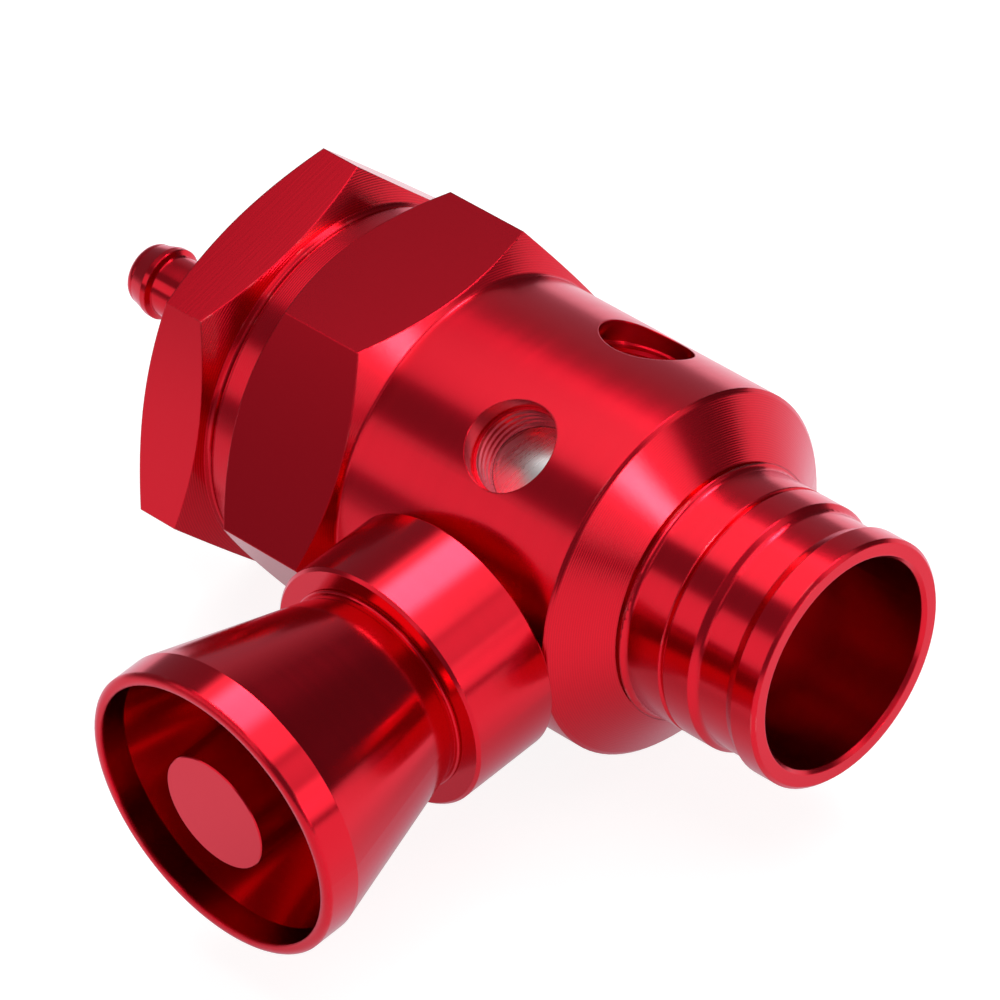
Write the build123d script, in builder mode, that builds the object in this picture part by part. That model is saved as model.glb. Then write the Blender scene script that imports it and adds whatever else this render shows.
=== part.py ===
from build123d import *
import math
import os

os.makedirs("parts", exist_ok=True)

# A blow off valve that lies on its side: the valve's own axis is X, with the
# hose inlet towards +X, the horn leaves it along -Y, and Z is up.
# The origin is on the valve's axis, in the middle of the hose band at the inlet.

# Inlet spigot
spigot_r = 12.5
inlet_bore_r = 10.6
mouth_bevel = 0.33
bore_bevel = 0.35
band_length = 2.8
band_ramp = 1.04
waist_length = 3.57
waist_depth = 0.57
waist_ramp = 0.67
waist_foot_fillet = 0.8
outer_land = 3.02
vee_width = 0.58
vee_depth = 0.45
inner_land = 3.8
bead_run = 0.57
bead_height = 0.5
relief_side = 0.1
relief_width = 0.6
relief_depth = 0.5

# Shoulder cone and barrel
cone_small_r = 12.85
cone_length = 3.45
barrel_r = 18.5
barrel_bevel = 0.36
barrel_length = 26.24

# Hexagon on the body
hex_across_flats = 38.2
body_hex_length = 14.1
body_hex_front_angle = 30.0
body_hex_rear_angle = 36.0
hex_foot_fillet = 0.4
rear_land = 2.3
rear_bevel = 0.15

# Bore for the piston and thread for the cap
seat_from_barrel_edge = 1.85
cylinder_r = 13.0
thread_wall = 2.0
thread_clearance = 0.05
cap_thread_length = 6.6
thread_end_gap = 0.55
recess_step = 0.45
recess_depth = 1.8

# Ports in the barrel
port_from_barrel_edge = 11.15
port_count = 6
vent_r = 4.62
vent_thread_r = 4.35
vent_counterbore = 2.2
port_thread_r = 8.0

# Screwed end cap
cap_clocking = 12.0
cap_neck_step = 0.4
cap_neck_length = 0.38
cap_collar_step = 0.1
cap_collar_length = 0.77
cap_hex_length = 8.0
cap_hex_front_angle = 26.0
cap_hex_rear_angle = 24.0
cap_face_step = 0.2
cap_wall = 2.9
cap_cavity_r = 13.4

# Vacuum nipple
nipple_stem_r = 2.5
nipple_neck_r = 3.15
nipple_neck_length = 15.03
barb_r = 3.68
barb_back = 0.34
barb_crest = 0.6
barb_front = 1.7
barb_root_r = 3.18
nose_length = 1.1
nose_round = 1.05
nipple_bore_r = 1.3

# Piston
piston_clearance = 0.05
piston_crown = 4.0
piston_wall = 2.2
piston_travel = 11.0
stop_gap = 0.1
piston_bevel = 0.4
ring_groove_width = 2.0
ring_groove_from_front = 17.5
ring_groove_spacing = 3.0
ring_wire_r = 0.8
seal_thickness = 0.8
seal_inner_r = 9.6
seal_outer_r = 12.4
seat_gap = 0.03

# Spring and its shim
spring_wire_r = 0.8
spring_side_gap = 0.5
spring_end_gap = 0.25
spring_turns = 7.0
shim_thickness = 0.8
shim_hole_r = 6.0
shim_r = 12.8

# O-rings that stay still
cap_ring_wire_r = 0.65
outlet_ring_wire_r = 0.6

# Collar on the side port
collar_r = 12.73
collar_gap = 0.29
collar_length = 9.89
collar_bevel = 0.3
collar_stub_gap = 0.35
collar_thread_length = 1.3
ring_side_gap = 0.05
outlet_bore_r = 6.2

# Horn
horn_stub_r = 8.0
horn_stub_length = 5.4
horn_socket_depth = 5.8
horn_flange_r = 10.55
horn_flange_thickness = 0.42
horn_flange_bevel = 0.12
horn_root_r = 10.12
horn_cone_length = 17.5
horn_rim_r = 15.0
horn_rim_length = 3.3
horn_lip_run = 0.42
horn_lip_r = 14.1
horn_mouth_r = 13.84
horn_mouth_depth = 2.95
horn_floor = 2.0
horn_floor_r = 9.27
lip_bevel = 0.1

# Core in the horn
core_r = 5.97
core_bevel = 0.1
core_recess = 0.6
core_length = 11.7
core_nose_r = 2.2
core_nose_length = 5.0
core_fin_thickness = 1.6
core_fin_count = 3
core_fin_height = 5.5
core_fit = 0.06


def slope(angle):
    return math.tan(math.radians(angle))


# Stations along X, from the inlet mouth back to the nipple's tip
mouth_x = band_length / 2
band_x = mouth_x - band_length
waist_front_x = band_x - band_ramp
waist_rear_x = waist_front_x - waist_length
outer_land_x = waist_rear_x - waist_ramp
vee_front_x = outer_land_x - outer_land
vee_rear_x = vee_front_x - vee_width
relief_front_x = vee_rear_x - inner_land
bead_x = relief_front_x - bead_run
cone_front_x = bead_x - relief_width
cone_rear_x = cone_front_x - cone_length
barrel_front_x = cone_rear_x - barrel_bevel
hex_front_x = barrel_front_x - barrel_length
hex_rear_x = hex_front_x - body_hex_length
body_end_x = hex_rear_x - rear_land
seat_x = barrel_front_x - seat_from_barrel_edge
port_x = barrel_front_x - port_from_barrel_edge
cap_tip_x = body_end_x + cap_thread_length
cylinder_end_x = cap_tip_x + thread_end_gap
cap_collar_x = body_end_x - cap_neck_length
cap_hex_front_x = cap_collar_x - cap_collar_length
cap_end_x = cap_hex_front_x - cap_hex_length
cap_floor_x = cap_end_x + cap_wall
piston_front_x = seat_x - seat_gap - seal_thickness
shim_front_x = cap_floor_x + shim_thickness
piston_rear_x = shim_front_x + stop_gap + piston_travel
barb_back_x = cap_end_x - nipple_neck_length
barb_crest_x = barb_back_x - barb_back
barb_front_x = barb_crest_x - barb_crest
nose_x = barb_front_x - barb_front
tip_x = nose_x - nose_length

# Stations along the horn's axis, from the valve's axis outwards
collar_stub_reach = cylinder_r + collar_stub_gap
collar_ring_at = collar_stub_reach + collar_thread_length + outlet_ring_wire_r + ring_side_gap
collar_back = barrel_r + collar_gap
collar_front = collar_back + collar_length
horn_root = collar_front + horn_flange_thickness
rim_back = horn_root + horn_cone_length
rim_front = rim_back + horn_rim_length
horn_end = rim_front + horn_lip_run
horn_floor_at = horn_root + horn_floor
wall_step = horn_end - horn_mouth_depth

# Radii that follow from others
bead_r = spigot_r + bead_height
vent_floor = barrel_r - vent_counterbore
thread_r = barrel_r - thread_wall
recess_r = thread_r + recess_step
cap_thread_r = thread_r - thread_clearance
cap_relief_r = recess_r - 2 * cap_ring_wire_r
cap_neck_r = barrel_r - cap_neck_step
cap_collar_r = barrel_r - cap_collar_step
cap_face_r = barrel_r - cap_face_step
hex_corner_r = hex_across_flats / 2 / math.cos(math.radians(30))
hex_stock_r = hex_corner_r + 0.6

outlet_axis = Axis((port_x, 0, 0), (0, -1, 0))


def outlet_plane(angle=0.0):
    """Plane through the horn's axis: local x runs out along the horn, local y is the radius."""
    turn = math.radians(angle)
    normal = (math.sin(turn), 0, math.cos(turn))
    return Plane(origin=(port_x, 0, 0), x_dir=(0, -1, 0), z_dir=normal)


def port_plane(number):
    """Plane at the middle of the barrel that looks out through one of the ports."""
    turn = math.radians(360.0 / port_count * number)
    return Plane(origin=(port_x, 0, 0), x_dir=(1, 0, 0), z_dir=(0, -math.cos(turn), math.sin(turn)))


# Valve body: spigot, cone, barrel, hexagon and threaded mouth for the cap
with BuildPart() as valve_body:
    with BuildSketch(Plane.XY) as body_outline:
        with BuildLine():
            Polyline(
                (cone_front_x, cone_small_r),
                (cone_rear_x, barrel_r - barrel_bevel),
                (barrel_front_x, barrel_r),
                (hex_front_x, barrel_r),
                (hex_front_x - (hex_stock_r - barrel_r) * slope(body_hex_front_angle), hex_stock_r),
                (hex_rear_x + (hex_stock_r - barrel_r) * slope(body_hex_rear_angle), hex_stock_r),
                (hex_rear_x, barrel_r),
                (body_end_x + rear_bevel, barrel_r),
                (body_end_x, barrel_r - rear_bevel),
                (body_end_x, 0),
                (mouth_x, 0),
                (mouth_x, spigot_r - mouth_bevel),
                (mouth_x - mouth_bevel, spigot_r),
                (band_x, spigot_r),
                (waist_front_x, spigot_r - waist_depth),
                (waist_rear_x, spigot_r - waist_depth),
                (outer_land_x, spigot_r),
                (vee_front_x, spigot_r),
                ((vee_front_x + vee_rear_x) / 2, spigot_r - vee_depth),
                (vee_rear_x, spigot_r),
                (relief_front_x, spigot_r),
            )
            ThreePointArc(
                (relief_front_x, spigot_r),
                (relief_front_x - 0.65 * bead_run, spigot_r + 0.33 * bead_height),
                (bead_x, bead_r),
            )
            Polyline(
                (bead_x, bead_r),
                (bead_x - relief_side, cone_small_r - relief_depth),
                (cone_front_x, cone_small_r - relief_depth),
                (cone_front_x, cone_small_r),
            )
        make_face()
        foot = body_outline.vertices().sort_by_distance((hex_front_x, barrel_r))[0]
        fillet(foot, hex_foot_fillet)
        waist_foot = body_outline.vertices().sort_by_distance((waist_rear_x, spigot_r - waist_depth))[0]
        fillet(waist_foot, waist_foot_fillet)
    revolve(axis=Axis.X)

    # Six flats
    with BuildSketch(Plane.YZ.offset(hex_rear_x)):
        Circle(hex_stock_r + 1)
        RegularPolygon(hex_corner_r, 6, mode=Mode.SUBTRACT)
    extrude(amount=body_hex_length, mode=Mode.SUBTRACT)

    # Inlet bore, seat, cylinder and cap thread
    with BuildSketch(Plane.XY):
        with BuildLine():
            Polyline(
                (mouth_x, 0),
                (mouth_x, inlet_bore_r + bore_bevel),
                (mouth_x - bore_bevel, inlet_bore_r),
                (seat_x, inlet_bore_r),
                (seat_x, cylinder_r),
                (cylinder_end_x, cylinder_r),
                (cylinder_end_x, thread_r),
                (body_end_x + recess_depth, thread_r),
                (body_end_x + recess_depth, recess_r),
                (body_end_x, recess_r),
                (body_end_x, 0),
                close=True,
            )
        make_face()
    revolve(axis=Axis.X, mode=Mode.SUBTRACT)

    # Ports round the barrel: the first takes the collar, the others are vents
    # with a plain outer part and a slightly narrower tapped part below it
    for number in range(port_count):
        with BuildSketch(port_plane(number)):
            Circle(port_thread_r if number == 0 else vent_thread_r)
        extrude(amount=barrel_r + 1, mode=Mode.SUBTRACT)
        if number > 0:
            with BuildSketch(port_plane(number).offset(vent_floor)):
                Circle(vent_r)
            extrude(amount=barrel_r, mode=Mode.SUBTRACT)
valve_body.part.label = "valve_body"
export_step(valve_body.part, "parts/valve_body.step")

# End cap: hexagon, neck and threaded skirt
with BuildPart() as end_cap:
    with BuildSketch(Plane.XY):
        with BuildLine():
            Polyline(
                (cap_end_x, 0),
                (cap_end_x, cap_face_r),
                (cap_end_x + (hex_stock_r - cap_face_r) * slope(cap_hex_rear_angle), hex_stock_r),
                (cap_hex_front_x - (hex_stock_r - cap_collar_r) * slope(cap_hex_front_angle), hex_stock_r),
                (cap_hex_front_x, cap_collar_r),
                (cap_collar_x - rear_bevel, cap_collar_r),
                (cap_collar_x, cap_collar_r - rear_bevel),
                (cap_collar_x, cap_neck_r),
                (body_end_x, cap_neck_r),
                (body_end_x, cap_relief_r),
                (body_end_x + recess_depth, cap_relief_r),
                (body_end_x + recess_depth + cap_thread_r - cap_relief_r, cap_thread_r),
                (cap_tip_x - piston_bevel, cap_thread_r),
                (cap_tip_x, cap_thread_r - piston_bevel),
                (cap_tip_x, 0),
                close=True,
            )
        make_face()
    revolve(axis=Axis.X)
    with BuildSketch(Plane.YZ.offset(cap_end_x)):
        Circle(hex_stock_r + 1)
        RegularPolygon(hex_corner_r, 6, rotation=cap_clocking, mode=Mode.SUBTRACT)
    extrude(amount=cap_hex_length, mode=Mode.SUBTRACT)
    with BuildSketch(Plane.YZ.offset(cap_floor_x)):
        Circle(cap_cavity_r)
    extrude(amount=cap_tip_x - cap_floor_x, mode=Mode.SUBTRACT)
    with BuildSketch(Plane.YZ.offset(cap_end_x)):
        Circle(nipple_stem_r)
    extrude(amount=cap_wall, mode=Mode.SUBTRACT)
end_cap.part.label = "end_cap"
export_step(end_cap.part, "parts/end_cap.step")

# O-ring between the cap and the body
with BuildPart() as cap_oring:
    with BuildSketch(Plane.XY):
        with Locations((body_end_x + recess_depth / 2, recess_r - cap_ring_wire_r)):
            Circle(cap_ring_wire_r)
    revolve(axis=Axis.X)
cap_oring.part.label = "cap_oring"
export_step(cap_oring.part, "parts/cap_oring.step")

# Vacuum nipple with one barb and a rounded nose
with BuildPart() as vacuum_nipple:
    with BuildSketch(Plane.XY) as nipple_outline:
        with BuildLine():
            Polyline(
                (cap_floor_x, nipple_bore_r),
                (cap_floor_x, nipple_stem_r - thread_clearance),
                (cap_end_x, nipple_stem_r - thread_clearance),
                (cap_end_x, nipple_neck_r),
                (barb_back_x, nipple_neck_r),
                (barb_crest_x, barb_r),
                (barb_front_x, barb_r),
                (nose_x, barb_root_r),
                (tip_x, barb_root_r),
                (tip_x, nipple_bore_r),
                close=True,
            )
        make_face()
        nose = nipple_outline.vertices().sort_by_distance((tip_x, barb_root_r))[0]
        fillet(nose, nose_round)
    revolve(axis=Axis.X)
vacuum_nipple.part.label = "vacuum_nipple"
export_step(vacuum_nipple.part, "parts/vacuum_nipple.step")

# Piston: a cup that is open towards the cap, with two ring grooves
piston_r = cylinder_r - piston_clearance
groove_floor_r = piston_r - 2 * ring_wire_r
with BuildPart() as piston:
    with BuildSketch(Plane.XY) as piston_outline:
        with BuildLine():
            Polyline(
                (piston_front_x, 0),
                (piston_front_x, piston_r),
                (piston_rear_x, piston_r),
                (piston_rear_x, piston_r - piston_wall),
                (piston_front_x - piston_crown, piston_r - piston_wall),
                (piston_front_x - piston_crown, 0),
                close=True,
            )
        make_face()
        for place in range(2):
            groove_x = piston_front_x - ring_groove_from_front - place * ring_groove_spacing
            with Locations((groove_x, (piston_r + groove_floor_r) / 2)):
                Rectangle(ring_groove_width, piston_r - groove_floor_r, mode=Mode.SUBTRACT)
    revolve(axis=Axis.X)
    chamfer(piston.faces().sort_by(Axis.X)[-1].edges(), piston_bevel)
    chamfer(piston.faces().sort_by(Axis.X)[0].outer_wire().edges(), piston_bevel)
piston.part.label = "piston"
export_step(piston.part, "parts/piston.step")


def piston_ring(place):
    """One O-ring in its groove on the piston's skirt."""
    groove_x = piston_front_x - ring_groove_from_front - place * ring_groove_spacing
    with BuildPart() as ring:
        with BuildSketch(Plane.XY):
            with Locations((groove_x, piston_r - ring_wire_r)):
                Circle(ring_wire_r)
        revolve(axis=Axis.X)
    return ring


piston_oring_front = piston_ring(0)
piston_oring_front.part.label = "piston_oring_front"
export_step(piston_oring_front.part, "parts/piston_oring_front.step")

piston_oring_rear = piston_ring(1)
piston_oring_rear.part.label = "piston_oring_rear"
export_step(piston_oring_rear.part, "parts/piston_oring_rear.step")

# Flat seal on the piston's crown, which closes the inlet bore
with BuildPart() as seat_seal:
    with BuildSketch(Plane.YZ.offset(piston_front_x)):
        Circle(seal_outer_r)
        Circle(seal_inner_r, mode=Mode.SUBTRACT)
    extrude(amount=seal_thickness)
seat_seal.part.label = "seat_seal"
export_step(seat_seal.part, "parts/seat_seal.step")

# Shim under the spring
with BuildPart() as spring_shim:
    with BuildSketch(Plane.YZ.offset(cap_floor_x)):
        Circle(shim_r)
        Circle(shim_hole_r, mode=Mode.SUBTRACT)
    extrude(amount=shim_thickness)
spring_shim.part.label = "spring_shim"
export_step(spring_shim.part, "parts/spring_shim.step")

# Coil spring from the shim to the piston's crown
spring_r = piston_r - piston_wall - spring_side_gap - spring_wire_r
spring_start_x = shim_front_x + spring_end_gap + spring_wire_r
spring_end_x = piston_front_x - piston_crown - spring_end_gap - spring_wire_r
spring_length = spring_end_x - spring_start_x
with BuildPart() as piston_spring:
    with BuildLine() as coil:
        Helix(
            pitch=spring_length / spring_turns,
            height=spring_length,
            radius=spring_r,
            center=(spring_start_x, 0, 0),
            direction=(1, 0, 0),
        )
    with BuildSketch(Plane(origin=coil.line @ 0, z_dir=coil.line % 0)):
        Circle(spring_wire_r)
    sweep(is_frenet=True)
piston_spring.part.label = "piston_spring"
export_step(piston_spring.part, "parts/piston_spring.step")

# Collar that screws into the side port, with a ring groove on its stub
collar_stub_r = port_thread_r - thread_clearance
collar_groove_r = port_thread_r - 2 * outlet_ring_wire_r
collar_groove_half = outlet_ring_wire_r + ring_side_gap
with BuildPart() as outlet_collar:
    with BuildSketch(outlet_plane()):
        with BuildLine():
            Polyline(
                (collar_stub_reach, outlet_bore_r),
                (collar_stub_reach, collar_stub_r),
                (collar_ring_at - collar_groove_half, collar_stub_r),
                (collar_ring_at - collar_groove_half, collar_groove_r),
                (collar_ring_at + collar_groove_half, collar_groove_r),
                (collar_ring_at + collar_groove_half, collar_stub_r),
                (collar_back, collar_stub_r),
                (collar_back, collar_r - collar_bevel),
                (collar_back + collar_bevel, collar_r),
                (collar_front - collar_bevel, collar_r),
                (collar_front, collar_r - collar_bevel),
                (collar_front, horn_stub_r),
                (collar_front - horn_socket_depth, horn_stub_r),
                (collar_front - horn_socket_depth, outlet_bore_r),
                close=True,
            )
        make_face()
    revolve(axis=outlet_axis)
outlet_collar.part.label = "outlet_collar"
export_step(outlet_collar.part, "parts/outlet_collar.step")

# O-ring on the collar's stub
with BuildPart() as collar_oring:
    with BuildSketch(outlet_plane()):
        with Locations((collar_ring_at, port_thread_r - outlet_ring_wire_r)):
            Circle(outlet_ring_wire_r)
    revolve(axis=outlet_axis)
collar_oring.part.label = "collar_oring"
export_step(collar_oring.part, "parts/collar_oring.step")

# Horn: threaded stub, thin flange, cone, rim and mouth
with BuildPart() as horn:
    with BuildSketch(outlet_plane()):
        with BuildLine():
            Polyline(
                (collar_front - horn_stub_length, outlet_bore_r),
                (collar_front - horn_stub_length, horn_stub_r - thread_clearance - horn_flange_bevel),
                (collar_front - horn_stub_length + horn_flange_bevel, horn_stub_r - thread_clearance),
                (collar_front, horn_stub_r - thread_clearance),
                (collar_front, horn_flange_r - horn_flange_bevel),
                (collar_front + horn_flange_bevel, horn_flange_r),
                (horn_root - horn_flange_bevel, horn_flange_r),
                (horn_root, horn_flange_r - horn_flange_bevel),
                (horn_root, horn_root_r),
                (rim_back, horn_rim_r),
                (rim_front, horn_rim_r),
            )
            ThreePointArc(
                (rim_front, horn_rim_r),
                (rim_front + 0.72 * horn_lip_run, horn_lip_r + 0.72 * (horn_rim_r - horn_lip_r)),
                (horn_end, horn_lip_r),
            )
            Polyline(
                (horn_end, horn_lip_r),
                (horn_end, horn_mouth_r + lip_bevel),
                (horn_end - lip_bevel, horn_mouth_r),
                (wall_step, horn_mouth_r),
                (horn_floor_at, horn_floor_r),
                (horn_floor_at, outlet_bore_r),
                (collar_front - horn_stub_length, outlet_bore_r),
            )
        make_face()
    revolve(axis=outlet_axis)
horn.part.label = "horn"
export_step(horn.part, "parts/horn.step")

# Core in the horn: a plug on three fins that stand on the horn's floor
core_end = horn_end - core_recess
nose_at = core_end - core_length
fin_top = horn_floor_at + core_fin_height
wall_taper = (horn_mouth_r - horn_floor_r) / (wall_step - horn_floor_at)
with BuildPart() as horn_core:
    with BuildSketch(outlet_plane()):
        with BuildLine():
            Polyline(
                (core_end, 0),
                (core_end, core_r - core_bevel),
                (core_end - core_bevel, core_r),
                (nose_at, core_r),
                (nose_at - core_nose_length, core_nose_r),
                (nose_at - core_nose_length, 0),
                close=True,
            )
        make_face()
    revolve(axis=outlet_axis)
    for number in range(core_fin_count):
        with BuildSketch(outlet_plane(90 + 360.0 / core_fin_count * number)):
            with BuildLine():
                Polyline(
                    (horn_floor_at, outlet_bore_r + 0.5),
                    (horn_floor_at, horn_floor_r - core_fit),
                    (fin_top, horn_floor_r - core_fit + wall_taper * core_fin_height),
                    (nose_at + 1.5, core_r - 0.4),
                    (nose_at - core_nose_length + 0.5, core_nose_r - 0.5),
                    close=True,
                )
            make_face()
        extrude(amount=core_fin_thickness / 2, both=True)
horn_core.part.label = "horn_core"
export_step(horn_core.part, "parts/horn_core.step")
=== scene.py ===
import math

import bpy
from bpy.props import FloatProperty, FloatVectorProperty, PointerProperty
from bpy.types import NodeSocket, Operator, Panel, PropertyGroup
from mathutils import Matrix, Vector


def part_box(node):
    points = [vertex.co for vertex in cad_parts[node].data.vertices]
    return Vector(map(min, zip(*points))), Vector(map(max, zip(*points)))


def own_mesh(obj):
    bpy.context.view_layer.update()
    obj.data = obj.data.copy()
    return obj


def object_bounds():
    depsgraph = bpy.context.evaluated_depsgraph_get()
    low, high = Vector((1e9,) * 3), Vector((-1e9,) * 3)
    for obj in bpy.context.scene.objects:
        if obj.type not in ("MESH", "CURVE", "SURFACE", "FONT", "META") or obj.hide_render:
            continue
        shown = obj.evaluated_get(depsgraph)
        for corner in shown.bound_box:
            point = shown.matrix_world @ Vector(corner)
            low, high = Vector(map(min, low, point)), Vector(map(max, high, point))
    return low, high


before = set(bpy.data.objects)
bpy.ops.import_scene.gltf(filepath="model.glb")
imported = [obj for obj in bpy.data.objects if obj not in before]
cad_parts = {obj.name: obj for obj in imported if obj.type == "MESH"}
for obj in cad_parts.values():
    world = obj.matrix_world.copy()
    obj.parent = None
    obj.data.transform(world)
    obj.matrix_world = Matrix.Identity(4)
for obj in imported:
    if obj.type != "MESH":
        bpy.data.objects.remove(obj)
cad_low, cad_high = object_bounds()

bl_info = {
    "name": "Blow Off Valve",
    "version": (1, 0, 0),
    "blender": (4, 5, 0),
    "location": "View3D > Sidebar > Valve",
    "description": "Dresses a piston blow off valve in red anodised metal",
    "category": "Object",
}

MM = 0.001
MICROMETRE = 0.001 * MM

# Places that the frame gives
HORN_LOW, HORN_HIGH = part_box("horn")
_, BODY_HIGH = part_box("valve_body")
PORT_X = (HORN_LOW.x + HORN_HIGH.x) / 2
AXIS_CROSSING = Vector((PORT_X, 0, 0))
HEX_HALF_WIDTH = BODY_HIGH.z

# Places and directions of the scene
ORIGIN = Vector((0, 0, 0))
ALONG_VALVE = Vector((1, 0, 0))
OUT_OF_HORN = Vector((0, -1, 0))

# Camera, fitted to the photograph: it stands at the target plus the offset
CAMERA_TARGET = Vector((-0.03016, 0, 0))
CAMERA_OFFSET = Vector((0.4206, -0.3880, 0.5028))
CAMERA_RIGHT = Vector((0.7198, 0.6885, -0.088))
CAMERA_TOP = Vector((-0.4081, 0.5224, 0.7487))
CAMERA_BACK = Vector((0.5615, -0.503, 0.657))
CAMERA_CLIP_START = 0.05
CAMERA_SENSOR_WIDTH = 36.0

FLOOR_SIZE = 6.0

# Turned zones along a piece's own axis: start in metres, depth of the tool marks in micrometres,
# and roughness
BODY_ZONES = (
    (-0.0620, 4.0, 0.22),  # hexagon and its chamfers
    (-0.0450, 0.7, 0.25),  # barrel
    (-0.0191, 5.0, 0.19),  # shoulder cone
    (-0.0152, 0.5, 0.215),  # bead, lands and spigot
)
CAP_ZONES = (
    (-0.0900, 0.5, 0.18),  # nipple
    (-0.0709, 10.0, 0.24),  # hexagon and its chamfers
    (-0.0628, 0.8, 0.18),  # collar and neck
)
OUTLET_ZONES = (
    (0.0, 0.3, 0.18),  # collar
    (0.0288, 0.15, 0.16),  # flange and cone of the horn
    (0.0466, 0.2, 0.15),  # rim of the horn
)
LIP_DEPTH = 0.6 * MM

# Gloss of the turned metal: what the slow streaks do to its roughness
STREAKS, STREAK_GLOSS = (0.3, 0.7), (0.94, 1.06)

# Painted shade in the grooves of the tool marks: how much the dye is darkened, by the depth of a
# groove in micrometres
GROOVE_DEPTHS, GROOVE_PAINTED_SHADES = (0.0, 8.0), (1.0, 0.8)

# Hexagons: turn of a flat from the Y axis in degrees, and depth of its brushed lines in micrometres
BODY_FLAT_TURN, BODY_BRUSHED = 30.0, 0.6
CAP_FLAT_TURN, CAP_BRUSHED = 42.0, 3.4
HALF_SIXTH = math.radians(30)

# Depth of the thread in the vents, in micrometres
THREAD_DEPTH = 60.0

# Broken edges: samples of the rounding, and what a worn patch on them, painted paler as lost dye
# and as an edge highlight, adds to the roughness
EDGE_SAMPLES = 4
WORN_HIGHLIGHT_ROUGHNESS = 0.15

# Undyed metal: heights of the tool marks, and the shares of the roughness that they give
MARK_HEIGHTS, MARK_GLOSS = (0.3, 1.1), (0.8, 1.2)
HONED_DEPTH, HONED_SPACING = 1.2 * MICROMETRE, 0.22 * MM

# Mottle of the rubber
MOTTLE_SCALE, MOTTLE_DEPTH, MOTTLE_STRENGTH = 1500.0, 0.02 * MM, 0.4

# Kinds of socket in a node group
VECTOR = "NodeSocketVector"
FLOAT = "NodeSocketFloat"

# Sockets that a Mix node uses for colours
MIX_FACTOR, MIX_A, MIX_B, MIX_RESULT = 0, 6, 7, 2


def length(name, millimetres, description):
    """A size that the user may change."""
    return FloatProperty(
        name=name, description=description, default=millimetres * MM, min=0.0, unit="LENGTH",
        precision=5,
    )


def colour(name, value, description):
    """A linear colour that the user may change."""
    return FloatVectorProperty(
        name=name, description=description, default=value, size=3, min=0.0, max=1.0,
        subtype="COLOR",
    )


def radiance(name, value, description):
    """Brightness of a lamp or surface, where one is white."""
    return FloatProperty(name=name, description=description, default=value, min=0.0)


class ValveFinish(PropertyGroup):
    """Colours and surface of the metal and rubber."""

    anodised: colour(
        "Anodised red", (0.62, 0.0070, 0.0208), "Colour of the dyed surface, seen straight on"
    )
    # Paler colour of the worn edges: partly lost dye, partly a painted edge highlight
    worn_edge_highlight: colour("Nicked edge", (0.80, 0.30, 0.32), "Colour where an edge has lost its dye")
    bare_metal: colour("Bare metal", (0.86, 0.85, 0.85), "Colour of the turned piston")
    steel: colour("Spring steel", (0.55, 0.55, 0.56), "Colour of the spring and its shim")
    rubber: colour("Rubber", (0.020, 0.020, 0.021), "Colour of the rings and the seal")
    feed: length("Feed", 0.24, "Distance between two tool marks of the lathe")
    edge_radius: length("Edge radius", 0.2, "Radius of the broken edges of the body and cap")
    horn_edge_radius: length(
        "Horn edge radius", 0.08, "Radius of the broken edges of the collar and horn"
    )
    lip_radius: length("Lip radius", 0.55, "Radius of the horn's lip")
    flat_roughness: FloatProperty(
        name="Flat roughness", description="Roughness of the hexagons' flats", default=0.185,
        min=0.0, max=1.0,
    )
    thread_pitch: length("Vent thread pitch", 0.8, "Pitch of the thread in the vents")


class ValveStudio(PropertyGroup):
    """Camera, lamps, floor and surroundings."""

    focal_length: FloatProperty(
        name="Focal length", description="Focal length of the camera in millimetres", default=296.1
    )
    key: radiance("Key light", 1.75, "Brightness of the large panel overhead")
    key_middle: radiance("Key middle", 9.0, "Extra brightness in the middle of the panel overhead")
    right: radiance("Right light", 1.38, "Brightness of the low panel beyond the inlet")
    right_middle: radiance("Right middle", 22.0, "Extra brightness in the middle of the low panel")
    upper_right: radiance("Upper right light", 1.0, "Brightness of the panel above the low one")
    front: radiance("Front light", 0.95, "Brightness of the long panel on the horn's side")
    edge: radiance(
        "Edge light", 1.0, "Brightness of the narrow strip that edges and the horn's inside mirror"
    )
    ceiling: radiance("Ceiling", 0.25, "Brightness that metal mirrors above the floor")
    back_left: radiance("Back left", 0.3, "Brightness that metal mirrors behind the cap")
    ambient: radiance("Ambient", 0.1, "Brightness of the surroundings for diffuse light")
    floor_colour: colour("Floor", (0.3, 0.3, 0.3), "Colour of the floor where the lamps reach it")
    floor_glow: radiance("Floor glow", 0.88, "Brightness that the floor keeps in its shadows")


def link(tree, source, target):
    tree.links.new(source, target)


def give(tree, value, target):
    """Links a socket to an input, or sets the input to a plain value."""
    if isinstance(value, NodeSocket):
        link(tree, value, target)
    else:
        target.default_value = value


def set_inputs(node, values):
    """Sets inputs of a node to constants."""
    for label, value in values.items():
        node.inputs[label].default_value = value


def new_material(name):
    """An empty material with its output and a Principled shader."""
    material = bpy.data.materials.new(name)
    material.use_nodes = True
    tree = material.node_tree
    tree.nodes.clear()
    output = tree.nodes.new("ShaderNodeOutputMaterial")
    shader = tree.nodes.new("ShaderNodeBsdfPrincipled")
    link(tree, shader.outputs["BSDF"], output.inputs["Surface"])
    return material, tree, shader


def new_group(name, inputs, outputs):
    """A shader node group with its sockets, given as (type, name) or (type, name, default)."""
    group = bpy.data.node_groups.new(name, "ShaderNodeTree")
    for kind, label, *default in inputs:
        socket = group.interface.new_socket(name=label, in_out="INPUT", socket_type=kind)
        if default:
            socket.default_value = default[0]
    for kind, label in outputs:
        group.interface.new_socket(name=label, in_out="OUTPUT", socket_type=kind)
    return group, group.nodes.new("NodeGroupInput"), group.nodes.new("NodeGroupOutput")


def math_node(tree, operation, *values):
    """A Math node whose inputs are sockets or numbers."""
    node = tree.nodes.new("ShaderNodeMath")
    node.operation = operation
    for target, value in zip(node.inputs, values):
        give(tree, value, target)
    return node.outputs["Value"]


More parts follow.
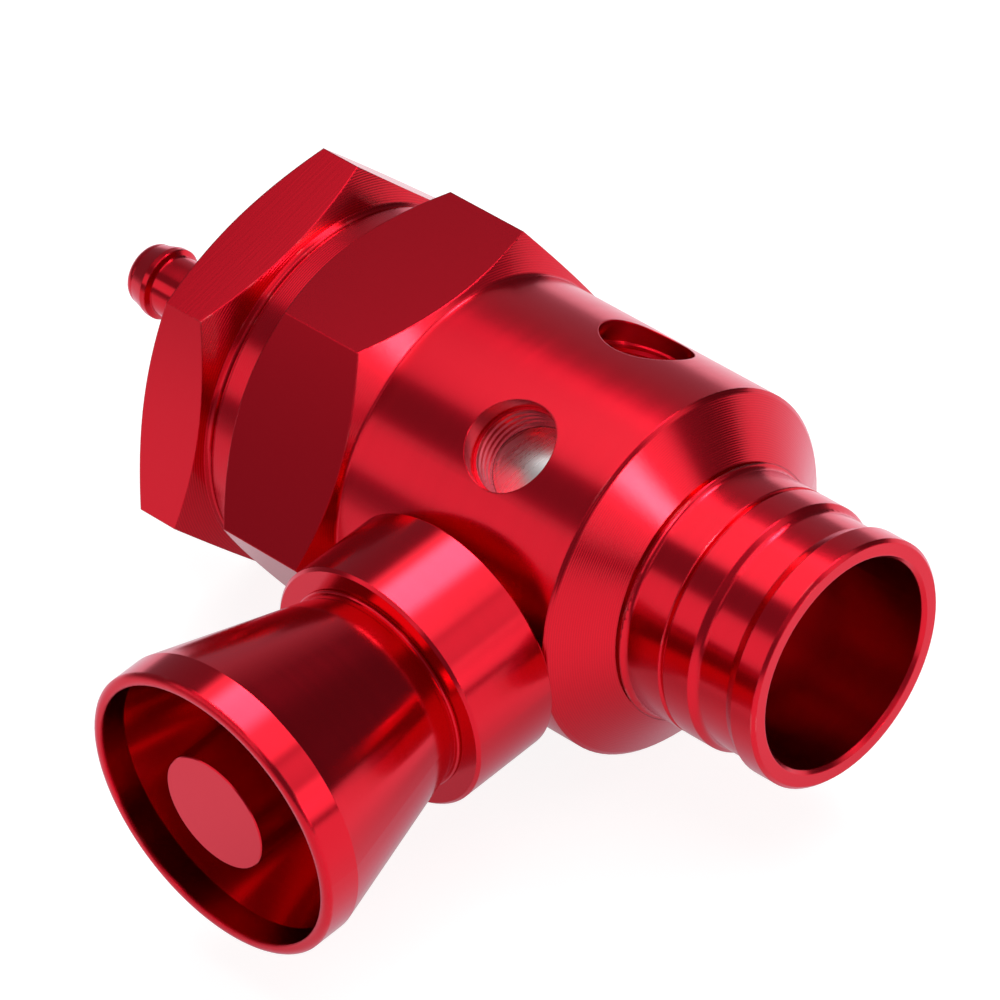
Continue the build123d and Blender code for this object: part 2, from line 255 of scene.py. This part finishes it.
def add(tree, first, second):
    return math_node(tree, "ADD", first, second)


def subtract(tree, first, second):
    return math_node(tree, "SUBTRACT", first, second)


def multiply(tree, first, second):
    return math_node(tree, "MULTIPLY", first, second)


def divide(tree, first, second):
    return math_node(tree, "DIVIDE", first, second)


def vector_math(tree, operation, *vectors):
    """A Vector Math node whose inputs are sockets or vectors."""
    node = tree.nodes.new("ShaderNodeVectorMath")
    node.operation = operation
    for target, vector in zip(node.inputs, vectors):
        give(tree, vector, target)
    return node.outputs["Value" if operation == "DOT_PRODUCT" else "Vector"]


def remap(tree, value, source, target, smooth=False):
    """A clamped Map Range node, from one pair of numbers to another."""
    node = tree.nodes.new("ShaderNodeMapRange")
    if smooth:
        node.interpolation_type = "SMOOTHSTEP"
    labels = ("From Min", "From Max", "To Min", "To Max")
    set_inputs(node, dict(zip(labels, (*source, *target))))
    link(tree, value, node.inputs["Value"])
    return node.outputs["Result"]


def separate(tree, vector):
    """The X, Y and Z of a vector."""
    node = tree.nodes.new("ShaderNodeSeparateXYZ")
    link(tree, vector, node.inputs[0])
    return node.outputs["X"], node.outputs["Y"], node.outputs["Z"]


def combine(tree, x, y, z):
    """A vector made of sockets or numbers."""
    node = tree.nodes.new("ShaderNodeCombineXYZ")
    for label, value in (("X", x), ("Y", y), ("Z", z)):
        give(tree, value, node.inputs[label])
    return node.outputs["Vector"]


def noise(tree, place, scale, detail):
    """A noise texture at a place."""
    texture = tree.nodes.new("ShaderNodeTexNoise")
    set_inputs(texture, {"Scale": scale, "Detail": detail})
    link(tree, place, texture.inputs["Vector"])
    return texture.outputs["Fac"]


def squared_sum(tree, first, second):
    return add(tree, multiply(tree, first, first), multiply(tree, second, second))


def polar(tree, vector):
    """Distance along X, radius and angle round X of a place."""
    x, y, z = separate(tree, vector)
    radius = math_node(tree, "SQRT", squared_sum(tree, y, z))
    return x, radius, math_node(tree, "ARCTAN2", z, y)


def fold_into_sixth(tree, radius, angle):
    """A place round X, folded into one sixth: distance outward, and sideways from the middle."""
    folded = math_node(tree, "WRAP", angle, HALF_SIXTH, -HALF_SIXTH)
    outward = multiply(tree, radius, math_node(tree, "COSINE", folded))
    sideways = multiply(tree, radius, math_node(tree, "SINE", folded))
    return outward, sideways


def lathe_marks_group():
    """Tool marks of a lathe: rings that follow any form turned about the X axis.

    Height is for bump, Streak changes slowly from ring to ring, and Groove is one at the bottom
    of a ring, where the material paints shade. The rings are counted along the axis and in part
    outward, so that cylinders, cones and end faces all bear them.
    """
    fine_share, ring_share, streak_share = 0.6, 0.35, 0.6
    fine_round_axis, streak_round_axis = 1.6, 0.4
    streak_scale = 0.25
    outward_share = 0.6
    group, entry, result = new_group(
        "lathe_marks",
        [(VECTOR, "Vector"), (FLOAT, "Feed", 0.2 * MM)],
        [(FLOAT, "Height"), (FLOAT, "Streak"), (FLOAT, "Groove")],
    )
    along, radius, angle = polar(group, entry.outputs["Vector"])
    along = divide(group, along, entry.outputs["Feed"])
    across = divide(group, radius, entry.outputs["Feed"])

    fine_place = combine(group, along, across, multiply(group, angle, fine_round_axis))
    fine = noise(group, fine_place, scale=1.0, detail=2.0)
    outline = subtract(group, along, multiply(group, across, outward_share))
    rings = math_node(group, "SINE", multiply(group, outline, math.tau))
    streak_place = combine(group, along, across, multiply(group, angle, streak_round_axis))
    streak = noise(group, streak_place, scale=streak_scale, detail=2.0)

    height = add(group, multiply(group, fine, fine_share), multiply(group, rings, ring_share))
    height = add(group, height, multiply(group, streak, streak_share))
    link(group, height, result.inputs["Height"])
    link(group, streak, result.inputs["Streak"])
    link(group, remap(group, rings, (-1.0, 1.0), (1.0, 0.0)), result.inputs["Groove"])
    return group


def hexagon_flats_group():
    """The flats of a hexagon round the X axis.

    Mask is one on the flats and zero on what is turned. Height is brushed lines on the flats.
    """
    margin = 0.01 * MM
    sideways_scale = 150.0
    group, entry, result = new_group(
        "hexagon_flats",
        [(VECTOR, "Vector"), (FLOAT, "Half Width", 19.0 * MM), (FLOAT, "Turn"),
         (FLOAT, "Spacing", 0.2 * MM)],
        [(FLOAT, "Mask"), (FLOAT, "Height")],
    )
    along, radius, angle = polar(group, entry.outputs["Vector"])
    from_flat = subtract(group, angle, entry.outputs["Turn"])
    outward, sideways = fold_into_sixth(group, radius, from_flat)
    edge = subtract(group, entry.outputs["Half Width"], margin)
    mask = math_node(group, "GREATER_THAN", outward, edge)
    link(group, mask, result.inputs["Mask"])

    lines_along = divide(group, along, entry.outputs["Spacing"])
    lines_across = multiply(group, sideways, sideways_scale)
    lines_place = combine(group, lines_along, lines_across, from_flat)
    lines = noise(group, lines_place, scale=1.0, detail=3.0)
    link(group, multiply(group, lines, mask), result.inputs["Height"])
    return group


def vent_threads_group():
    """Screw threads in the six holes that stand round the X axis.

    Low and High are the distances from the axis between which the thread is cut.
    """
    group, entry, result = new_group(
        "vent_threads",
        [(VECTOR, "Vector"), (FLOAT, "Pitch", 0.8 * MM), (FLOAT, "Hole Radius", 4.48 * MM),
         (FLOAT, "Low", 13.1 * MM), (FLOAT, "High", 16.2 * MM)],
        [(FLOAT, "Height")],
    )
    along, radius, angle = polar(group, entry.outputs["Vector"])
    outward, sideways = fold_into_sixth(group, radius, angle)
    from_hole = math_node(group, "SQRT", squared_sum(group, along, sideways))
    inside = math_node(group, "LESS_THAN", from_hole, entry.outputs["Hole Radius"])
    above = math_node(group, "GREATER_THAN", outward, entry.outputs["Low"])
    below = math_node(group, "LESS_THAN", outward, entry.outputs["High"])
    inside = multiply(group, multiply(group, inside, above), below)

    half_pitch = divide(group, entry.outputs["Pitch"], 2.0)
    turn = divide(group, math_node(group, "ARCTAN2", along, sideways), math.tau)
    climb = multiply(group, turn, entry.outputs["Pitch"])
    ridge = math_node(group, "PINGPONG", add(group, outward, climb), half_pitch)
    ridge = divide(group, ridge, half_pitch)
    link(group, multiply(group, ridge, inside), result.inputs["Height"])
    return group


def edge_wear_and_highlight_group():
    """Small worn patches where the rounded normal leaves the flat one, broken up by noise; the
    material paints them paler, as lost dye and as a painted edge highlight.
    """
    edge_agreement = (0.985, 0.90)
    patch_scale, patch_detail = 280.0, 4.0
    patch_threshold = (0.60, 0.70)
    group, entry, result = new_group(
        "edge_wear_and_highlight",
        [(VECTOR, "Vector"), (VECTOR, "Rounded"), (FLOAT, "Amount", 0.5)],
        [(FLOAT, "Mask")],
    )
    surface = group.nodes.new("ShaderNodeNewGeometry")
    agreement = vector_math(
        group, "DOT_PRODUCT", surface.outputs["Normal"], entry.outputs["Rounded"]
    )
    edge = remap(group, agreement, edge_agreement, (0.0, 1.0))
    texture = noise(group, entry.outputs["Vector"], scale=patch_scale, detail=patch_detail)
    broken = remap(group, texture, patch_threshold, (0.0, 1.0))
    wear_and_highlight = multiply(group, multiply(group, edge, broken), entry.outputs["Amount"])
    link(group, wear_and_highlight, result.inputs["Mask"])
    return group


def honed_marks_group():
    """Fine scratches on a cylinder round the X axis, with a fainter set that crosses them."""
    leans_and_weights = ((0.35, 1.0), (-0.5, 0.2))
    lengthwise_scale = 0.03
    group, entry, result = new_group(
        "honed_marks",
        [(VECTOR, "Vector"), (FLOAT, "Spacing", 0.2 * MM)],
        [(FLOAT, "Height")],
    )
    along, radius, angle = polar(group, entry.outputs["Vector"])
    along = divide(group, along, entry.outputs["Spacing"])
    around = divide(group, multiply(group, radius, angle), entry.outputs["Spacing"])
    sets = []
    for lean, weight in leans_and_weights:
        leaning = multiply(group, around, lean)
        across = add(group, along, leaning)
        lengthwise = multiply(group, subtract(group, around, leaning), lengthwise_scale)
        scratches = noise(group, combine(group, across, lengthwise, 0.0), scale=1.0, detail=2.0)
        sets.append(multiply(group, scratches, weight))
    link(group, add(group, *sets), result.inputs["Height"])
    return group


GROUPS = {
    "lathe_marks": lathe_marks_group,
    "hexagon_flats": hexagon_flats_group,
    "vent_threads": vent_threads_group,
    "edge_wear_and_highlight": edge_wear_and_highlight_group,
    "honed_marks": honed_marks_group,
}


def use_group(tree, name, **inputs):
    """Adds a shared node group, built the first time it is asked for."""
    node = tree.nodes.new("ShaderNodeGroup")
    node.node_tree = bpy.data.node_groups.get(name) or GROUPS[name]()
    for label, value in inputs.items():
        give(tree, value, node.inputs[label.replace("_", " ")])
    return node.outputs


def centred_coordinates(tree, place, axis):
    """Object coordinates, plain and with the piece's own axis laid along X."""
    coordinates = tree.nodes.new("ShaderNodeTexCoord")
    mapping = tree.nodes.new("ShaderNodeMapping")
    turn = -math.atan2(axis.y, axis.x)
    location = -(Matrix.Rotation(turn, 3, "Z") @ place)
    set_inputs(mapping, {"Rotation": (0, 0, turn), "Location": location})
    link(tree, coordinates.outputs["Object"], mapping.inputs["Vector"])
    return coordinates.outputs["Object"], mapping.outputs["Vector"]


def meridian_tangent(tree, position, place, axis):
    """The direction along the piece's outline, across the tool marks."""
    from_axis = vector_math(tree, "SUBTRACT", position, place)
    around = vector_math(tree, "CROSS_PRODUCT", axis, from_axis)
    to_world = tree.nodes.new("ShaderNodeVectorTransform")
    to_world.vector_type = "VECTOR"
    to_world.convert_from = "OBJECT"
    to_world.convert_to = "WORLD"
    link(tree, around, to_world.inputs[0])
    surface = tree.nodes.new("ShaderNodeNewGeometry")
    along = vector_math(tree, "CROSS_PRODUCT", to_world.outputs[0], surface.outputs["Normal"])
    return vector_math(tree, "NORMALIZE", along)


def zones(tree, along, stops):
    """A value that changes in steps along the piece, given as (start in metres, value)."""
    (_, result), *later = stops
    for start, value in later:
        past = math_node(tree, "GREATER_THAN", along, start)
        before = subtract(tree, 1.0, past)
        result = add(tree, multiply(tree, before, result), multiply(tree, past, value))
    return result


def mixed_colour(tree, blend, factor, first, second):
    """A Mix node for colours, whose inputs are sockets or colours."""
    node = tree.nodes.new("ShaderNodeMix")
    node.data_type = "RGBA"
    node.blend_type = blend
    for place, value in ((MIX_FACTOR, factor), (MIX_A, first), (MIX_B, second)):
        give(tree, value, node.inputs[place])
    return node.outputs[MIX_RESULT]


def bump_normal(tree, shader, height, distance, strength=1.0, base=None):
    """Bumps the shader's normal by a height, over a base normal if one is given."""
    bump = tree.nodes.new("ShaderNodeBump")
    set_inputs(bump, {"Strength": strength, "Distance": distance})
    link(tree, height, bump.inputs["Height"])
    if base is not None:
        link(tree, base, bump.inputs["Normal"])
    link(tree, bump.outputs["Normal"], shader.inputs["Normal"])


def red_anodised(name, finish, place, axis, turned_zones, edge_stops, flat_turn=None, brushed=0.0,
                 vented=False, worn_highlights=0.3):
    """Red anodised aluminium, turned about one axis.

    turned_zones gives, along the piece's own axis, where a zone starts, the depth of its tool
    marks in micrometres and its roughness. edge_stops gives where an edge radius starts, and
    brushed the depth of the lines on the flats in micrometres.
    """
    material, tree, shader = new_material(name)
    position, centred = centred_coordinates(tree, place, axis)
    along, _, _ = separate(tree, centred)

    # Turned surfaces: tool marks, their gloss and how deep the grooves are
    marks = use_group(tree, "lathe_marks", Vector=centred, Feed=finish.feed)
    depth = zones(tree, along, [(start, value) for start, value, _ in turned_zones])
    roughness = zones(tree, along, [(start, value) for start, _, value in turned_zones])
    height = multiply(tree, marks["Height"], depth)
    groove = multiply(tree, marks["Groove"], depth)
    gloss = multiply(tree, remap(tree, marks["Streak"], STREAKS, STREAK_GLOSS), roughness)

    if flat_turn is not None:
        flats = use_group(tree, "hexagon_flats", Vector=centred, Half_Width=HEX_HALF_WIDTH,
                          Turn=math.radians(flat_turn))
        flat = flats["Mask"]
        turned = subtract(tree, 1.0, flat)
        height = multiply(tree, height, turned)
        groove = multiply(tree, groove, turned)
        height = add(tree, height, multiply(tree, flats["Height"], brushed))
        gloss = add(tree, multiply(tree, gloss, turned),
                    multiply(tree, flat, finish.flat_roughness))

    if vented:
        from_port = vector_math(tree, "SUBTRACT", position, AXIS_CROSSING)
        thread = use_group(tree, "vent_threads", Vector=from_port, Pitch=finish.thread_pitch)
        height = add(tree, height, multiply(tree, thread["Height"], THREAD_DEPTH))

    # Tool marks over the broken edges
    rounded = tree.nodes.new("ShaderNodeBevel")
    rounded.samples = EDGE_SAMPLES
    give(tree, zones(tree, along, edge_stops), rounded.inputs["Radius"])
    bump_normal(tree, shader, height, MICROMETRE, base=rounded.outputs["Normal"])

    # Dye with painted shade in the deep grooves, and paler on worn edges, which is partly lost dye
    # and partly a painted edge highlight
    shade = remap(tree, groove, GROOVE_DEPTHS, GROOVE_PAINTED_SHADES)
    dyed = mixed_colour(tree, "MULTIPLY", 1.0, (*finish.anodised, 1), shade)
    # Painted edge highlight: worn patches of the edges take a paler colour, partly lost dye and
    # partly standing in for bright edge lines
    wear_and_highlight = use_group(tree, "edge_wear_and_highlight", Vector=position, Rounded=rounded.outputs["Normal"],
                     Amount=worn_highlights)["Mask"]
    colour_with_worn_highlights = mixed_colour(tree, "MIX", wear_and_highlight, dyed, (*finish.worn_edge_highlight, 1))
    link(tree, colour_with_worn_highlights, shader.inputs["Base Color"])
    gloss = add(tree, gloss, multiply(tree, wear_and_highlight, WORN_HIGHLIGHT_ROUGHNESS))
    link(tree, gloss, shader.inputs["Roughness"])

    link(tree, meridian_tangent(tree, position, place, axis), shader.inputs["Tangent"])
    set_inputs(shader, {
        "Metallic": 1.0,
        "Specular Tint": (1.0, 0.88, 1.0, 1.0),
        "Anisotropic": 0.5,
        "Coat Weight": 0.12,
        "Coat Roughness": 0.1,
        "Coat IOR": 1.6,
    })
    return material


def bare_metal(name, base, roughness, marks, depth, **spacing):
    """Undyed metal with one kind of tool mark, a group's name."""
    material, tree, shader = new_material(name)
    _, centred = centred_coordinates(tree, ORIGIN, ALONG_VALVE)
    height = use_group(tree, marks, Vector=centred, **spacing)["Height"]
    bump_normal(tree, shader, height, depth)
    gloss = remap(tree, height, MARK_HEIGHTS, [roughness * share for share in MARK_GLOSS])
    link(tree, gloss, shader.inputs["Roughness"])
    set_inputs(shader, {"Base Color": (*base, 1), "Metallic": 1.0})
    return material


def black_rubber(finish):
    """Moulded rubber with a faint mottle."""
    material, tree, shader = new_material("black_rubber")
    coordinates = tree.nodes.new("ShaderNodeTexCoord")
    mottle = noise(tree, coordinates.outputs["Object"], scale=MOTTLE_SCALE, detail=2.0)
    bump_normal(tree, shader, mottle, MOTTLE_DEPTH, strength=MOTTLE_STRENGTH)
    set_inputs(shader, {"Base Color": (*finish.rubber, 1), "Roughness": 0.55})
    return material


def dress(material, *names):
    """Gives one material to all the slots of some nodes."""
    for name in names:
        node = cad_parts[name]
        node.data.materials.clear()
        node.data.materials.append(material)


class VALVE_OT_finish_body(Operator):
    """Anodise the valve body, with turned cones, plain flats and threaded vents."""

    bl_idname = "valve.finish_body"
    bl_label = "Finish Body"

    def execute(self, context):
        finish = context.scene.valve_finish
        body = red_anodised("red_body", finish, ORIGIN, ALONG_VALVE, BODY_ZONES,
                            [(0.0, finish.edge_radius)], flat_turn=BODY_FLAT_TURN,
                            brushed=BODY_BRUSHED, vented=True)
        dress(body, "valve_body")
        return {"FINISHED"}


class VALVE_OT_finish_cap(Operator):
    """Anodise the end cap and its nipple, with coarse marks on the cap's chamfers."""

    bl_idname = "valve.finish_cap"
    bl_label = "Finish Cap"

    def execute(self, context):
        finish = context.scene.valve_finish
        cap = red_anodised("red_cap", finish, ORIGIN, ALONG_VALVE, CAP_ZONES,
                           [(0.0, finish.edge_radius)], flat_turn=CAP_FLAT_TURN,
                           brushed=CAP_BRUSHED, worn_highlights=0.5)
        dress(cap, "end_cap", "vacuum_nipple")
        return {"FINISHED"}


class VALVE_OT_finish_outlet(Operator):
    """Anodise the collar, the horn and its core."""

    bl_idname = "valve.finish_outlet"
    bl_label = "Finish Outlet"

    def execute(self, context):
        finish = context.scene.valve_finish
        lip = -HORN_LOW.y - LIP_DEPTH
        edges = [(0.0, finish.horn_edge_radius), (lip, finish.lip_radius)]
        outlet = red_anodised("red_horn", finish, AXIS_CROSSING, OUT_OF_HORN, OUTLET_ZONES, edges)
        dress(outlet, "outlet_collar", "horn", "horn_core")
        return {"FINISHED"}


class VALVE_OT_finish_inner(Operator):
    """Finish the piston, spring, shim and rings, and give the spring a mesh of its own."""

    bl_idname = "valve.finish_inner"
    bl_label = "Finish Inner Pieces"

    def execute(self, context):
        finish = context.scene.valve_finish
        honed = bare_metal("honed_metal", finish.bare_metal, 0.3, "honed_marks", HONED_DEPTH,
                           Spacing=HONED_SPACING)
        dress(honed, "piston")
        steel = bare_metal("spring_steel", finish.steel, 0.3, "lathe_marks", MICROMETRE,
                           Feed=finish.feed)
        dress(steel, "piston_spring", "spring_shim")
        dress(black_rubber(finish), "cap_oring", "collar_oring", "piston_oring_front",
              "piston_oring_rear", "seat_seal")
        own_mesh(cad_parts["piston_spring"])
        return {"FINISHED"}


def place_camera(scene, studio):
    """The camera of the photograph."""
    data = bpy.data.cameras.new("photo_camera")
    data.lens = studio.focal_length
    data.sensor_width = CAMERA_SENSOR_WIDTH
    data.clip_start = CAMERA_CLIP_START
    camera = bpy.data.objects.new("photo_camera", data)
    bpy.context.collection.objects.link(camera)
    turn = Matrix((CAMERA_RIGHT, CAMERA_TOP, CAMERA_BACK)).transposed().to_4x4()
    camera.matrix_world = Matrix.Translation(CAMERA_TARGET + CAMERA_OFFSET) @ turn
    scene.camera = camera


def aimed(place, target, up):
    """World matrix of a lamp at a place, looking at a target."""
    forward = (target - place).normalized()
    right = forward.cross(up).normalized()
    top = right.cross(forward)
    return Matrix.Translation(place) @ Matrix((right, top, -forward)).transposed().to_4x4()


def soft_panel(name, place, target, up, size, brightness, fade):
    """A rectangular lamp that fades towards its edges.

    Its place and target are measured from the crossing of the axes, and size is its width and
    height. fade is the share of each over which an edge fades.
    """
    data = bpy.data.lights.new(name, "AREA")
    data.shape = "RECTANGLE"
    width, height = size
    data.size, data.size_y = width, height
    data.energy = brightness * width * height * math.pi
    data.use_nodes = True
    tree = data.node_tree
    surface = tree.nodes.new("ShaderNodeNewGeometry")
    across, upwards, _ = separate(tree, surface.outputs["Parametric"])
    falls = []
    for share in (across, upwards):
        from_edge = math_node(tree, "PINGPONG", share, 0.5)
        falls.append(remap(tree, from_edge, (0.0, fade), (0.0, 1.0), smooth=True))
    link(tree, multiply(tree, *falls), tree.nodes["Emission"].inputs["Strength"])
    lamp = bpy.data.objects.new(name, data)
    bpy.context.collection.objects.link(lamp)
    lamp.matrix_world = aimed(
        AXIS_CROSSING + Vector(place), AXIS_CROSSING + Vector(target), Vector(up)
    )


def hang_panels(studio):
    """The soft panels round the valve, and the brighter middles of two of them."""
    crossing = (0, 0, 0)
    upright, to_the_back = (0, 0, 1), (0, 1, 0)
    soft_panel("key_panel", (0.007, 0.102, 0.58), (0.007, 0.102, 0), to_the_back,
               (0.97, 0.666), studio.key, fade=0.13)
    soft_panel("key_middle", (-0.085, 0.335, 0.56), (-0.085, 0.335, 0), to_the_back,
               (0.46, 0.30), studio.key_middle, fade=0.3)
    soft_panel("right_panel", (0.67, 0.10, 0.18), crossing, upright,
               (0.70, 0.34), studio.right, fade=0.2)
    soft_panel("right_middle", (0.63, 0.115, 0.175), crossing, upright,
               (0.20, 0.18), studio.right_middle, fade=0.5)
    soft_panel("upper_right_panel", (0.46, 0.35, 0.39), crossing, upright,
               (0.46, 0.44), studio.upper_right, fade=0.35)
    soft_panel("front_panel", (-0.22, -0.60, 0.28), crossing, upright,
               (0.86, 0.38), studio.front, fade=0.14)
    soft_panel("edge_strip", (0.12, -0.35, 0.47), crossing, (0, 0.8, 0.6),
               (0.14, 0.46), studio.edge, fade=0.3)


def mirrored_rays(tree, path):
    """One for rays that the valve mirrors or lets through."""
    return math_node(
        tree, "MAXIMUM", path.outputs["Is Glossy Ray"], path.outputs["Is Transmission Ray"]
    )


def studio_strength(tree, studio):
    """White behind the object, a plain ambient, and what metal mirrors of the studio.

    Metal mirrors a pale band below the horizon, a dim ceiling that darkens towards the back,
    and a lighter wall at the back left. The bands are shares of a direction.
    """
    below_horizon, back_shade = 0.45, 0.5
    horizon_band, shade_band = (-0.05, 0.03), (0.5, 0.85)
    back_band, left_band = (0.5, 0.75), (-0.3, -0.6)
    path = tree.nodes.new("ShaderNodeLightPath")
    coordinates = tree.nodes.new("ShaderNodeTexCoord")
    x, y, z = separate(tree, coordinates.outputs["Generated"])
    ceiling = remap(tree, z, horizon_band, (below_horizon, studio.ceiling))
    ceiling = multiply(tree, ceiling, remap(tree, y, shade_band, (1.0, back_shade)))
    back_left = multiply(tree, remap(tree, y, back_band, (0.0, 1.0)),
                         remap(tree, x, left_band, (0.0, studio.back_left)))
    in_metal = multiply(tree, mirrored_rays(tree, path), add(tree, ceiling, back_left))
    bright = math_node(tree, "MAXIMUM", in_metal, path.outputs["Is Camera Ray"])
    return add(tree, bright, multiply(tree, path.outputs["Is Diffuse Ray"], studio.ambient))


def floor_strength(tree, studio):
    """The floor's glow for camera rays, and what metal mirrors of it.

    In metal the floor darkens in two steps on the side away from the light, and in a contact
    shade under the valve.
    """
    light_x, light_y = 0.8, 0.6
    contact_samples = 4
    first_step, first_glow = (-0.24, -0.15), (0.28, 0.78)
    second_step, second_glow = (-0.06, 0.02), (0.0, 0.22)
    contact_distance, open_sky, contact_shade = 0.045, (0.3, 0.95), (0.55, 1.0)
    path = tree.nodes.new("ShaderNodeLightPath")
    coordinates = tree.nodes.new("ShaderNodeTexCoord")
    x, y, _ = separate(tree, coordinates.outputs["Object"])
    towards_light = add(tree, multiply(tree, x, light_x), multiply(tree, y, light_y))
    glow = add(tree, remap(tree, towards_light, first_step, first_glow),
               remap(tree, towards_light, second_step, second_glow))
    contact = tree.nodes.new("ShaderNodeAmbientOcclusion")
    contact.samples = contact_samples
    set_inputs(contact, {"Distance": contact_distance})
    glow = multiply(tree, glow, remap(tree, contact.outputs["AO"], open_sky, contact_shade))
    in_metal = multiply(tree, mirrored_rays(tree, path), glow)
    bright = math_node(tree, "MAXIMUM", in_metal, path.outputs["Is Camera Ray"])
    return multiply(tree, bright, studio.floor_glow)


def lay_floor(studio):
    """A pale floor under the valve, which glows and takes the light of the lamps."""
    bpy.ops.object.select_all(action="DESELECT")
    bpy.ops.mesh.primitive_plane_add(size=FLOOR_SIZE, location=(AXIS_CROSSING.x, 0, cad_low.z))
    floor = bpy.context.object
    floor.name = "floor"
    material = bpy.data.materials.new("floor")
    material.use_nodes = True
    tree = material.node_tree
    tree.nodes.clear()
    output = tree.nodes.new("ShaderNodeOutputMaterial")
    diffuse = tree.nodes.new("ShaderNodeBsdfDiffuse")
    set_inputs(diffuse, {"Color": (*studio.floor_colour, 1)})
    glow = tree.nodes.new("ShaderNodeEmission")
    link(tree, floor_strength(tree, studio), glow.inputs["Strength"])
    both = tree.nodes.new("ShaderNodeAddShader")
    link(tree, diffuse.outputs["BSDF"], both.inputs[0])
    link(tree, glow.outputs["Emission"], both.inputs[1])
    link(tree, both.outputs[0], output.inputs["Surface"])
    floor.data.materials.append(material)


def set_world(scene, studio):
    """The white surroundings."""
    world = bpy.data.worlds.new("studio")
    scene.world = world
    world.use_nodes = True
    tree = world.node_tree
    tree.nodes.clear()
    output = tree.nodes.new("ShaderNodeOutputWorld")
    sky = tree.nodes.new("ShaderNodeBackground")
    set_inputs(sky, {"Color": (1, 1, 1, 1)})
    link(tree, studio_strength(tree, studio), sky.inputs["Strength"])
    link(tree, sky.outputs["Background"], output.inputs["Surface"])


class VALVE_OT_stage(Operator):
    """Place the camera, lay the floor, hang the lamps and set the world."""

    bl_idname = "valve.stage"
    bl_label = "Set Stage"

    def execute(self, context):
        scene = context.scene
        studio = scene.valve_studio
        scene.view_settings.view_transform = "Standard"
        place_camera(scene, studio)
        lay_floor(studio)
        hang_panels(studio)
        set_world(scene, studio)
        return {"FINISHED"}


class VALVE_PT_panel(Panel):
    """The valve's steps in the sidebar."""

    bl_label = "Blow Off Valve"
    bl_space_type = "VIEW_3D"
    bl_region_type = "UI"
    bl_category = "Valve"

    def draw(self, context):
        for step in STEPS:
            self.layout.operator(step.bl_idname)


STEPS = (
    VALVE_OT_stage,
    VALVE_OT_finish_body,
    VALVE_OT_finish_cap,
    VALVE_OT_finish_outlet,
    VALVE_OT_finish_inner,
)
CLASSES = (ValveFinish, ValveStudio, *STEPS, VALVE_PT_panel)


def register():
    for item in CLASSES:
        bpy.utils.register_class(item)
    bpy.types.Scene.valve_finish = PointerProperty(type=ValveFinish)
    bpy.types.Scene.valve_studio = PointerProperty(type=ValveStudio)


def unregister():
    del bpy.types.Scene.valve_studio
    del bpy.types.Scene.valve_finish
    for item in reversed(CLASSES):
        bpy.utils.unregister_class(item)


def main():
    register()
    bpy.ops.valve.stage()
    bpy.ops.valve.finish_body()
    bpy.ops.valve.finish_cap()
    bpy.ops.valve.finish_outlet()
    bpy.ops.valve.finish_inner()


if __name__ == "__main__":
    main()
